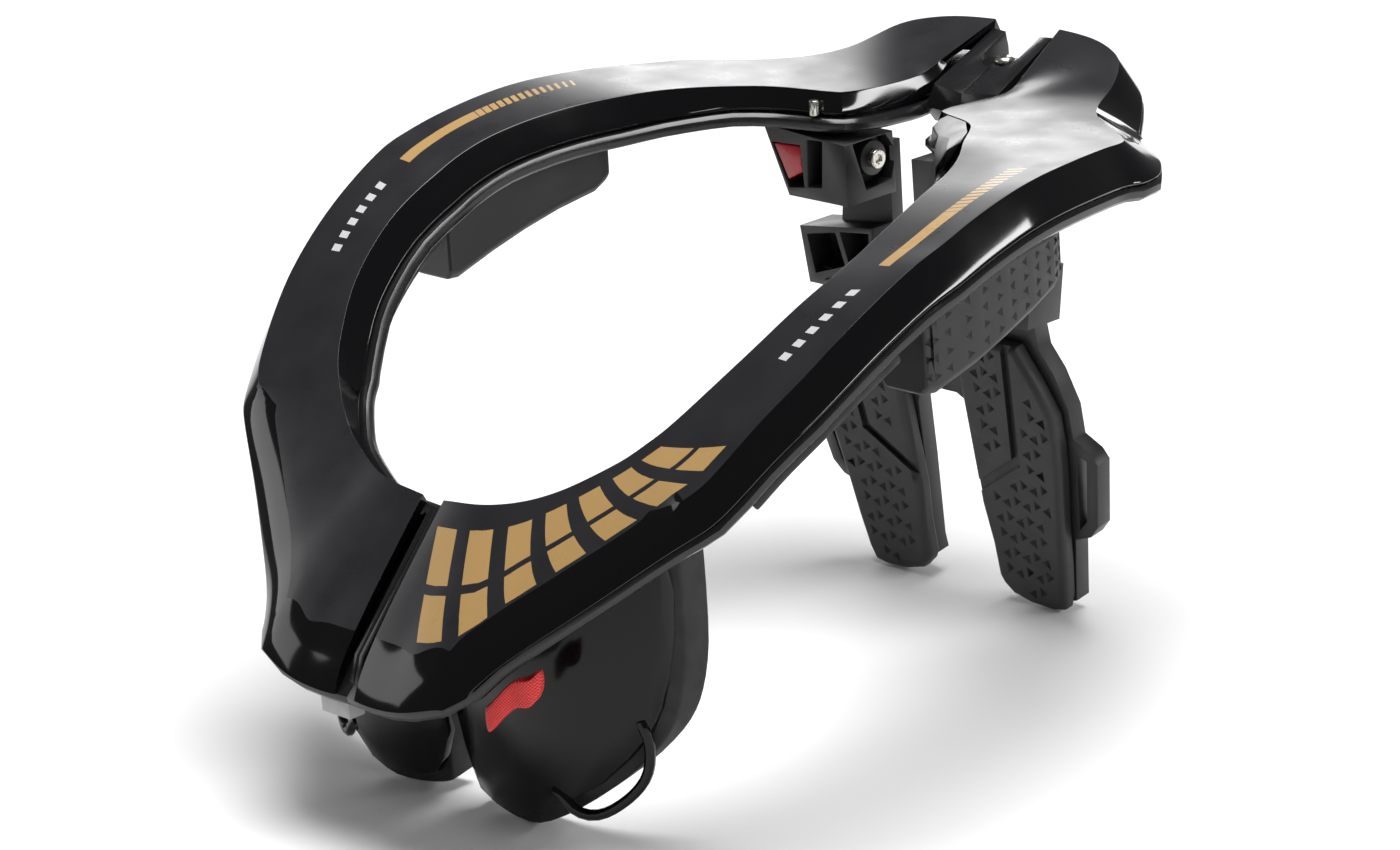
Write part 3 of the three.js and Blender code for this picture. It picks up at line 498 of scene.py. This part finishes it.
# %% [markdown]
# The patch's border is one ring of points. Cut at the front seam, it gives two long lines, and
# a rung joins each point of the inner line to the outer one, as on a ladder.


# %% Border and rungs
def border_of(patch):
    steps = {}
    for face in patch:
        for loop in face.loops:
            if is_crease(loop.edge):
                steps[loop.vert] = loop.link_loop_next.vert
    start = next(iter(steps))
    ring, vert = [], start
    while True:
        ring.append(vert.co.copy())
        vert = steps[vert]
        if vert is start:
            return ring


def rungs_of(ring):
    """Pairs of points across the band, from the seam to the tail."""
    count = len(ring)
    from_seam = [abs(point.x) + max(0, point.y) * REAR_PENALTY for point in ring]
    ends = sorted(range(count), key=lambda i: from_seam[i])[:2]
    first, second = min(ends), max(ends)
    if second - first != 1:
        first, second = second, first
    half = count // 2
    one = [ring[(second + k) % count] for k in range(half)]
    other = [ring[(first - k) % count] for k in range(half)]
    if abs(one[half // 2].x) > abs(other[half // 2].x):
        one, other = other, one
    return list(zip(one, other))


# %% [markdown]
# The place of a point on the band is found on the nearest stretch between two rungs: how far
# it lies from the seam, and its share of the way from the inner crease to the outer one.


# %% Band coordinates
TENTHS = 10


def share_between(point, first, second):
    """How far a point lies from the first rung towards the second, by its distance to each."""
    gaps = []
    for (a, b), other in ((first, second), (second, first)):
        rung = b - a
        side = (other[0] + other[1]) / 2 - (a + b) / 2
        side = side - rung * (side.dot(rung) / rung.length_squared)
        gaps.append((point - a).dot(side.normalized()))
    total = gaps[0] + gaps[1]
    return max(0.0, min(1.0, gaps[0] / total)) if total > 0 else 0.0


def band_place(point, rungs, lengths):
    """The distance from the seam in metres, and the share across the band."""
    best = None
    for k in range(len(rungs) - 1):
        (a, b), (c, d) = rungs[k], rungs[k + 1]
        share = share_between(point, rungs[k], rungs[k + 1])
        inner, outer = a.lerp(c, share), b.lerp(d, share)
        across = outer - inner
        v = (point - inner).dot(across) / across.length_squared
        held = inner + across * max(0.0, min(1.0, v))
        gap = (point - held).length
        if best is None or gap < best[0]:
            best = (gap, lengths[k] + share * (lengths[k + 1] - lengths[k]), v)
    return best[1], best[2]


def add_band_map(piece, rungs):
    """Writes the UV map of the ornaments, and returns the band's length."""
    lengths = [0.0]
    for (a, b), (c, d) in zip(rungs, rungs[1:]):
        lengths.append(lengths[-1] + ((c + d) / 2 - (a + b) / 2).length)
    mesh = piece.data
    places = [band_place(v.co, rungs, lengths) for v in mesh.vertices]
    layer = mesh.uv_layers.new(name="band")
    for loop in mesh.loops:
        along, across = places[loop.vertex_index]
        layer.data[loop.index].uv = (along * TENTHS, across)
    return lengths[-1]


# %% [markdown]
# The hem and the lip get a wide rounding and the other sharp edges a narrow one. A subdivision
# surface then smooths the whole, and the roundings hold its edges in place. The map is added
# last, because subdivision would move a map that was made before it.

# %% Covers
HEM_ROUND, CREASE_ROUND = 2.0, 0.5

for side, body in SIDES.items():
    shape = merged_copy(f"cover_{side}", 40)
    patch = top_patch(shape)
    rungs = rungs_of(border_of(patch))
    for face in shape.faces:
        face.material_index = 1 if face in patch else 0
    round_edges(shape, rim_edges(patch), HEM_ROUND, 3)
    round_edges(shape, sharp_edges(shape, 30), CREASE_ROUND, 2)
    cover = into_object(shape, f"glossy_cover_{side}", [gloss_black, films[side]], 60)
    applied(subdivided(cover, 2))
    length = add_band_map(cover, rungs)
    cover.data.shade_smooth()
    seat(cover, body, "gloss_shell", f"cover_{side}")
    print(f"cover {side}: {len(rungs)} rungs, {length / MM:.0f} mm along the band")

# %% [markdown]
# ## Rigid black pieces
# The chassis, the brackets and the back legs are moulded in one piece each. A moulded part
# has no knife edge, so a narrow bevel on each sharp edge catches a thin line of light. They
# aren't subdivided, because their flat walls and ribs would swell.

# %% Chassis, brackets and legs
for side, body in SIDES.items():
    for node, width, degrees, finish in (
        ("chassis", 0.35, 25, rim_black),
        ("wedge_bracket", 0.5, 30, matte_black),
        ("leg_shell", 0.6, 30, matte_black),
    ):
        shape = merged_copy(f"{node}_{side}")
        round_edges(shape, sharp_edges(shape, degrees), width, 2)
        piece = into_object(shape, f"moulded_{node}_{side}", [finish], 40)
        seat(piece, body, "matte_frame", f"{node}_{side}")

# %% [markdown]
# ## Chest plates
# The chest plate is a thin glossy shell with a turned-out rim and a loop for a strap. Its
# curve has many small steps, so the faces are joined up to a wider angle before the bevel.

# %% Chest plates
for side, body in SIDES.items():
    shape = merged_copy(f"chest_plate_{side}", 30)
    round_edges(shape, sharp_edges(shape, 35), 0.5, 2)
    piece = into_object(shape, f"glossy_chest_plate_{side}", [gloss_plate], 40)
    seat(piece, body, "gloss_plate", f"chest_plate_{side}")

# %% [markdown]
# ## Small hard pieces
# Wedges, bolts, pins, the latch and the tongue are close to their solids, with softer edges.
# Metal is turned sharper than plastic is moulded, so its roundings are the narrowest.

# %% Small hard pieces
for side, body in SIDES.items():
    shape = merged_copy(f"wedge_{side}")
    round_edges(shape, sharp_edges(shape, 30), 0.6, 3)
    seat(
        into_object(shape, f"red_wedge_{side}", [red_gloss], 40),
        body,
        "red_plastic",
        f"wedge_{side}",
    )
    shape = merged_copy(f"bolt_{side}")
    round_edges(shape, sharp_edges(shape, 40), 0.25, 2)
    seat(into_object(shape, f"steel_bolt_{side}", [steel], 40), body, "steel", f"bolt_{side}")

for node, name, finish, slot, body in (
    ("hinge_pin", "steel_hinge_pin", steel, "steel", "right_half"),
    ("flange_stud", "steel_stud", steel, "steel", "right_half"),
    ("seam_latch", "pale_latch", pale_grey, "pale_plastic", "right_half"),
):
    shape = merged_copy(node)
    round_edges(shape, sharp_edges(shape, 35), 0.3, 2)
    seat(into_object(shape, name, [finish], 40), body, slot, node)

shape = merged_copy("tongue", 30)
round_edges(shape, sharp_edges(shape, 25), 0.7, 3)
tongue = into_object(shape, "satin_tongue", [tongue_black], 60)
seat(tongue, "left_half", "gloss_shell", "tongue")

# %% [markdown]
# ## Foam pads
# The chest foams and the thin pads under the collar are moulded foam. Their edges are well
# rounded and their faces slightly crowned, which a bevel followed by a subdivision surface
# gives. A cloth simulation would suit a sewn cover, but moulded foam has no cloth to wrinkle.

# %% Plain foam pads
for side, body in SIDES.items():
    for node, finish, slot, width in (
        ("chest_foam", foam_black, "foam", 2.2),
        ("front_pad", foam_black, "foam", 1.2),
    ):
        shape = merged_copy(f"{node}_{side}", 30)
        round_edges(shape, sharp_edges(shape, 35), width, 3)
        piece = into_object(shape, f"soft_{node}_{side}", [finish], 60)
        applied(subdivided(piece, 1))
        seat(piece, body, slot, f"{node}_{side}")

# %% [markdown]
# ## Leg pads
# The face of a leg pad is flat with a wide rounded border. Small three-sided pits stand in
# rows on it, and a groove comes down from the top and bends to the inner edge. The edges are
# rounded first. Then a boolean takes out each stretch of the groove, and all the pits at once,
# because the parts of one cutter must not overlap. Bump in the material would be lighter, but
# the pits are deep enough to show in the mesh.

# %% Leg pad values
LEAN = math.radians(9.5)
TO_FRONT = Vector((0, -math.cos(LEAN), -math.sin(LEAN)))
UP_LEG = Vector((0, -math.sin(LEAN), math.cos(LEAN)))
FACE_ROUND, BACK_ROUND = 2.6, 0.6
FOAM_DEGREES = 22
PIT_RADIUS = 2.7 * MM
PIT_DEPTH = 1.2 * MM
PIT_FLOOR, PIT_MOUTH = 0.5, 1.25
ROWS, COLUMNS = 9, 6
ROW_STEP = 6.6 * MM
COLUMN_STEP = 4.4 * MM
PIT_MARGIN = 4.6 * MM
GROOVE_HALF_WIDTH = 1.7 * MM
GROOVE_DEPTH = 1.7 * MM
GROOVE_OVERRUN = 1.6
GROOVE_CLEARANCE = 4.6 * MM
GROOVE_ROUTE = [(0.63, 1.1), (0.5, 0.56), (-0.1, 0.4)]

# %% [markdown]
# A pit is kept only where it lies clear of the face's border and of the groove. The face is
# laid flat for this, with its corners as a list of points in its own plane.


# %% Room on the face
def inside(point, corners):
    hit = False
    for k, a in enumerate(corners):
        b = corners[k - 1]
        if (a.y > point.y) != (b.y > point.y):
            x = a.x + (point.y - a.y) * (b.x - a.x) / (b.y - a.y)
            hit = hit != (point.x < x)
    return hit


def clear_inside(point, corners, margin):
    spots = [(margin, 0), (-margin, 0), (0, margin), (0, -margin)]
    return all(inside(point + Vector((u, v, 0)), corners) for u, v in spots)


def gap_to(point, start, end):
    way = end - start
    share = max(0.0, min(1.0, (point - start).dot(way) / way.length_squared))
    return (point - start - way * share).length


def groove_on(flat, inner_is_low):
    """The groove's corners, from shares of the face's width and height."""
    low_u, high_u = min(c.x for c in flat), max(c.x for c in flat)
    low_v, high_v = min(c.y for c in flat), max(c.y for c in flat)
    inner = low_u if inner_is_low else high_u
    width = (high_u - low_u) * (1 if inner_is_low else -1)
    height = high_v - low_v
    return [Vector((inner + u * width, low_v + v * height, 0)) for u, v in GROOVE_ROUTE]


def pit_spots(flat, route):
    """Places in rows, with every other pit turned round."""
    spots = []
    for row in range(-ROWS, ROWS + 1):
        for column in range(-COLUMNS, COLUMNS + 1):
            spot = Vector((column * COLUMN_STEP, row * ROW_STEP, 0))
            stretches = zip(route, route[1:])
            clear = all(gap_to(spot, a, b) > GROOVE_CLEARANCE for a, b in stretches)
            if clear and clear_inside(spot, flat, PIT_MARGIN):
                turned = (row + column) % 2 == 1
                if turned:
                    spot.y += PIT_RADIUS / 2
                spots.append((spot, turned))
    return spots


# %% [markdown]
# A pit is cut by a three-sided cone that narrows downwards, half of it above the face. A
# stretch of the groove is cut by a box that is turned along it.


# %% Cutting tools
def add_pit(tool, place, radius, depth, turned):
    turn = math.pi / 2 + (math.pi if turned else 0)
    bmesh.ops.create_cone(
        tool,
        cap_ends=True,
        segments=3,
        radius1=PIT_FLOOR * radius,
        radius2=PIT_MOUTH * radius,
        depth=2 * depth,
        matrix=place @ Matrix.Rotation(turn, 4, "Z"),
    )


def add_groove(tool, plane, start, end):
    way = end - start
    place = Matrix.Translation((start + end) / 2)
    place = place @ Matrix.Rotation(math.atan2(way.y, way.x), 4, "Z")
    length = way.length + GROOVE_OVERRUN * GROOVE_HALF_WIDTH
    size = (length, 2 * GROOVE_HALF_WIDTH, 2 * GROOVE_DEPTH)
    bmesh.ops.create_cube(tool, size=1, matrix=plane @ place @ Matrix.Diagonal((*size, 1)))


# %% [markdown]
# The front face is the largest one that looks forward. The plane on it has its own axes, one
# across the leg, one up it and one out of it, so the cutters are placed in flat coordinates.

# %% Leg pads
for side, body in SIDES.items():
    sign = 1 if side == "left" else -1
    shape = merged_copy(f"leg_pad_{side}")
    bmesh.ops.dissolve_limit(
        shape, angle_limit=math.radians(1), verts=shape.verts, edges=shape.edges
    )
    face = max(shape.faces, key=lambda f: f.normal.dot(TO_FRONT) * f.calc_area())
    plane = Matrix((UP_LEG.cross(TO_FRONT), UP_LEG, TO_FRONT)).transposed().to_4x4()
    plane.translation = face.calc_center_median()
    flat = [plane.inverted() @ v.co for v in face.verts]
    round_edges(shape, list(face.edges), FACE_ROUND, 6)
    round_edges(shape, sharp_edges(shape, 40), BACK_ROUND, 2)
    piece = into_object(shape, f"embossed_leg_pad_{side}", [embossed_black], FOAM_DEGREES)
    route = groove_on(flat, sign * plane[0][0] > 0)
    for start, end in zip(route, route[1:]):
        tool = bmesh.new()
        add_groove(tool, plane, start, end)
        carved(piece, into_object(tool, "groove", []))
    spots = pit_spots(flat, route)
    tool = bmesh.new()
    for spot, turned in spots:
        add_pit(tool, plane @ Matrix.Translation(spot), PIT_RADIUS, PIT_DEPTH, turned)
    carved(piece, into_object(tool, "pits", []))
    even_normals(piece, FOAM_DEGREES)
    seat(piece, body, "embossed_pad", f"leg_pad_{side}")
    print(f"leg pad {side}: {len(spots)} pits")

# %% [markdown]
# ## Shoulder pads
# The outer face of a shoulder pad bends along the collar, so each of its flat parts gets its
# own small grid of pits, placed by shares of that part's width and height. The pits are found
# before the edges are rounded, because rounding splits the flat parts.

# %% Shoulder pads
SHOULDER_ROUND = 1.2
SHOULDER_PIT_RADIUS = 2.0 * MM
SHOULDER_PIT_DEPTH = 0.8 * MM
PITS_ACROSS, PITS_DOWN = 2, 4
FIRST_PIT, PIT_SHARES = 0.75, 4.4
OUTWARD = 0.8
UPRIGHT = 0.5


def spots_on(face):
    """A grid of places on a four-sided face, with every other pit turned round."""
    a, b, c, d = [v.co for v in face.verts][:4]
    if abs((a - b).normalized().z) > UPRIGHT:
        b, d = d, b
    for i in range(PITS_ACROSS):
        for j in range(PITS_DOWN):
            u, v = (i + 0.5) / PITS_ACROSS, (j + FIRST_PIT) / PIT_SHARES
            yield a.lerp(b, u).lerp(d.lerp(c, u), v), (i + j) % 2 == 1


for side, body in SIDES.items():
    sign = 1 if side == "left" else -1
    shape = merged_copy(f"shoulder_pad_{side}", 30)
    outer = [f for f in shape.faces if f.normal.x * sign > OUTWARD]
    tool = bmesh.new()
    for face in outer:
        facing = face.normal.to_track_quat("Z", "Y").to_matrix().to_4x4()
        for spot, turned in spots_on(face):
            place = Matrix.Translation(spot) @ facing
            add_pit(tool, place, SHOULDER_PIT_RADIUS, SHOULDER_PIT_DEPTH, turned)
    count = len(outer) * PITS_ACROSS * PITS_DOWN
    round_edges(shape, sharp_edges(shape, 30), SHOULDER_ROUND, 5)
    piece = into_object(shape, f"embossed_shoulder_pad_{side}", [embossed_black], FOAM_DEGREES)
    carved(piece, into_object(tool, "pits", []))
    even_normals(piece, FOAM_DEGREES)
    seat(piece, body, "embossed_pad", f"shoulder_pad_{side}")
    print(f"shoulder pad {side}: {count} pits")

# %% [markdown]
# ## The release pull
# The pull is a strip of woven red webbing, folded on itself under the front edge. Its weave is
# the product of two waves a millimetre long, one along the strip and one up it. The same waves
# raise the threads in the bump and lighten their colour, so the raised threads carry a painted
# highlight and the dips between them painted shade.

# %% Webbing finish
WEAVE_WAVES = 6283
webbing = finish_named("woven red webbing", (0.5, 0.01, 0.02), 0.45)
threads = [
    math_node(webbing, "SINE", math_node(webbing, "MULTIPLY", part, WEAVE_WAVES))
    for part in uv_parts(webbing, "weave")
]
weave = math_node(webbing, "MULTIPLY", *threads)
# The colour of the weave is painted light: a painted highlight on the raised threads and painted
# shade in the dips between them.
weave_highlight_and_shade = spread(webbing, weave, 0.0, 1.0, -0.8, 0.8)
webbing_with_painted_light = blended(webbing, weave_highlight_and_shade, (0.42, 0.006, 0.012), (0.95, 0.06, 0.05))
to_shader(webbing, "Base Color", webbing_with_painted_light)
grain(webbing, weave, 0.25, 0.7)
print("webbing nodes:", len(webbing.node_tree.nodes))

# %% [markdown]
# The route of the fold is given as shares of the solid's length and depth, and its top is set
# from the top of the solid, so the strap moves with the solid when that changes. It is set
# below that top, which leaves it hanging about 2 mm free of the chassis.

# %% Folded route
STRAP_THICKNESS = 1.3 * MM
STRAP_HEIGHT = 9.5 * MM
STRAP_INSET = 1.2 * MM
NEAREST_POINTS = 12
WEAVE_SLANT = 0.6
FOLD_ROUTE = [
    (0.98, 0.7), (0.8, 0.8), (0.55, 0.82), (0.3, 0.8), (0.12, 0.72), (0.04, 0.5),
    (0.12, 0.28), (0.3, 0.2), (0.5, 0.3), (0.66, 0.12), (0.82, 0.2), (0.97, 0.45),
]
FOLD_DROP = [0.06, 0.02, 0.0, 0.02, 0.05, 0.1, 0.1, 0.04, 0.1, 0.02, 0.1, 0.2]
pull_way = Vector((0.78, 0.62, 0)).normalized()
pull_out = Vector((0.62, -0.78, 0)).normalized()
pull_points = [v.co.copy() for v in nodes["release_pull"].data.vertices]
along_range = [f(p.dot(pull_way) for p in pull_points) for f in (min, max)]
out_range = [f(p.dot(pull_out) for p in pull_points) for f in (min, max)]


def pull_spot(u, v, z):
    """A place from shares of the pull's length and depth, at a given height."""
    along = along_range[0] + u * (along_range[1] - along_range[0])
    out = out_range[1] - v * (out_range[1] - out_range[0])
    return pull_way * along + pull_out * out + Vector((0, 0, z))


def underside(u):
    """The height of the pull's top along its length, read from its solid."""
    along = along_range[0] + u * (along_range[1] - along_range[0])
    near = sorted(pull_points, key=lambda p: abs(p.dot(pull_way) - along))[:NEAREST_POINTS]
    return max(p.z for p in near)


def set_rib(ends, u, v, drop):
    """One short upright edge of the strip: its lower and its upper end."""
    top = underside(u) - STRAP_INSET
    lower, upper = ends
    lower.co = pull_spot(u, v, top - STRAP_HEIGHT * (1 - drop))
    upper.co = pull_spot(u, v, top)


# %% [markdown]
# The strip starts as one short upright edge, which the extrude operator carries along the
# folded route. Solidify gives it its thickness, and a subdivision surface bends it smoothly.

# %% Release pull
shape = bmesh.new()
ends = [shape.verts.new((0, 0, z)) for z in (0, 1)]
rib = shape.edges.new(ends)
set_rib(ends, *FOLD_ROUTE[0], FOLD_DROP[0])
for (u, v), drop in zip(FOLD_ROUTE[1:], FOLD_DROP[1:]):
    grown = bmesh.ops.extrude_edge_only(shape, edges=[rib])["geom"]
    ends = sorted((g for g in grown if isinstance(g, bmesh.types.BMVert)), key=lambda g: g.co.z)
    rib = next(e for e in ends[0].link_edges if e.other_vert(ends[0]) is ends[1])
    set_rib(ends, u, v, drop)
bmesh.ops.recalc_face_normals(shape, faces=shape.faces)
bmesh.ops.solidify(shape, geom=shape.faces, thickness=STRAP_THICKNESS)
bmesh.ops.recalc_face_normals(shape, faces=shape.faces)
pull = into_object(shape, "webbing_pull", [webbing], 60)
applied(subdivided(pull, 2))
layer = pull.data.uv_layers.new(name="weave")
for loop in pull.data.loops:
    place = pull.data.vertices[loop.vertex_index].co
    along = place.dot(pull_way) + WEAVE_SLANT * place.dot(pull_out)
    layer.data[loop.index].uv = (along, place.z)
seat(pull, "left_half", "red_webbing", "release_pull")

# %% [markdown]
# ## Studio
# The floor is one pale sheet, wide enough to fill the view, and the light is soft. Black
# gloss shows only what it mirrors, so large panels give the long white lines on the bevels.

# %% Floor
FLOOR_HALF = 12
floor_shape = bmesh.new()
bmesh.ops.create_grid(floor_shape, x_segments=1, y_segments=1, size=FLOOR_HALF)
floor_finish = finish_named("studio floor", (0.9, 0.9, 0.9), 0.7)
floor_tone = noise_on(floor_finish, 3)
floor_mix = blended(floor_finish, floor_tone, (0.9, 0.9, 0.9), (0.93, 0.93, 0.93))
to_shader(floor_finish, "Base Color", floor_mix)
floor = into_object(floor_shape, "floor", [floor_finish])
print("floor width in metres:", 2 * FLOOR_HALF)

# %% [markdown]
# The rear panel whitens the satin top towards the tail. The top panel lights the whole, and
# the two side strips give the bright lines on the outer bevels.


# %% Lights and world
def panel(name, place, target, width, height, power):
    light = bpy.data.lights.new(name, "AREA")
    light.shape = "RECTANGLE"
    light.size = width
    light.size_y = height
    light.energy = power
    lamp = bpy.data.objects.new(name, light)
    bpy.context.scene.collection.objects.link(lamp)
    lamp.location = place
    lamp.rotation_euler = (Vector(target) - Vector(place)).to_track_quat("-Z", "Y").to_euler()
    return lamp


MIDDLE = (0, 0, 0.1)
for name, place, width, height, power in (
    ("rear panel", (-1.5, 1.6, 0.62), 2.0, 0.5, 15),
    ("top panel", (0.1, 0.2, 2.2), 1.4, 1.4, 60),
    ("left strip", (1.9, 0.7, 0.97), 3.2, 0.16, 26),
    ("right strip", (-2.0, -0.9, 0.7), 1.6, 0.6, 5),
):
    panel(name, place, MIDDLE, width, height, power)

world = bpy.data.worlds.new("studio")
world.use_nodes = True
world.node_tree.nodes["Background"].inputs["Color"].default_value = (0.8, 0.8, 0.82, 1)
world.node_tree.nodes["Background"].inputs["Strength"].default_value = 0.13
bpy.context.scene.world = world
bpy.context.scene.view_settings.view_transform = "Standard"
print("lights:", len(bpy.data.lights))

# %% [markdown]
# ## Camera
# The photograph looks from the wearer's left front, slightly down. The camera's place and
# its three directions were worked out from the brace's own symmetry.

# %% Camera
CAMERA_PLACE = Vector((1.0539, -0.9578, 0.5572))
CAMERA_RIGHT = Vector((0.68604, 0.72387, -0.07323))
CAMERA_UP = Vector((-0.17992, 0.26631, 0.94695))
CAMERA_LENS = 123.43
lens = bpy.data.cameras.new("camera")
lens.sensor_width = 36
lens.lens = CAMERA_LENS
camera = bpy.data.objects.new("camera", lens)
bpy.context.scene.collection.objects.link(camera)
back = CAMERA_RIGHT.cross(CAMERA_UP)
camera.matrix_world = Matrix.Translation(CAMERA_PLACE) @ (
    Matrix((CAMERA_RIGHT, CAMERA_UP, back)).transposed().to_4x4()
)
bpy.context.scene.camera = camera
print("camera looks along", [round(v, 3) for v in -back])
